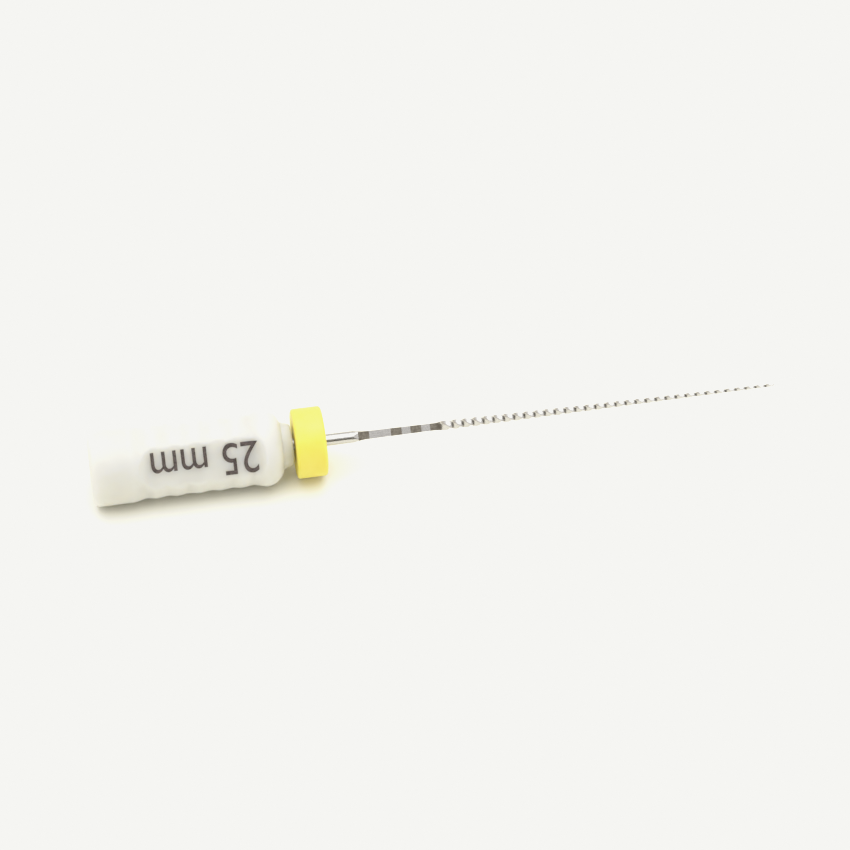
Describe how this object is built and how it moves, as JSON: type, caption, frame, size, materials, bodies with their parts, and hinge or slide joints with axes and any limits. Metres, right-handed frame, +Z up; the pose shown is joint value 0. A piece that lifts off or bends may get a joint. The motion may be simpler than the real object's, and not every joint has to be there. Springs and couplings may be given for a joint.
{
  "type": "endodontic hand file",
  "caption": "Slender root canal hand file: ribbed white plastic handle, tapered twisted square steel blade with depth bands, and a yellow silicone stop that slides on the shaft.",
  "frame": {"origin": "centre of the handle's rear face, on the file's axis", "axes": "+X along the axis from the handle to the blade's tip; +Z up as the file lies on its side; the printed label flat faces up and towards -Y"},
  "size_m": [0.035, 0.0038, 0.0038],
  "materials": {
    "handle_plastic": "satin moulded white plastic",
    "blade_steel": "fine-ground stainless steel",
    "stop_silicone": "soft matt silicone",
    "marking_ink": "dark brown-grey marking, on the handle's label and in the blade's depth bands"
  },
  "bodies": {
    "file": {"handle": "handle_plastic", "file_blade": "blade_steel"},
    "stop": {"silicone_stop": "stop_silicone"}
  },
  "joints": [
    {"name": "stop_slide", "type": "slide", "parent": "file", "child": "stop", "axis": [1, 0, 0], "range_m": [-0.00011, 0.0063]}
  ]
}
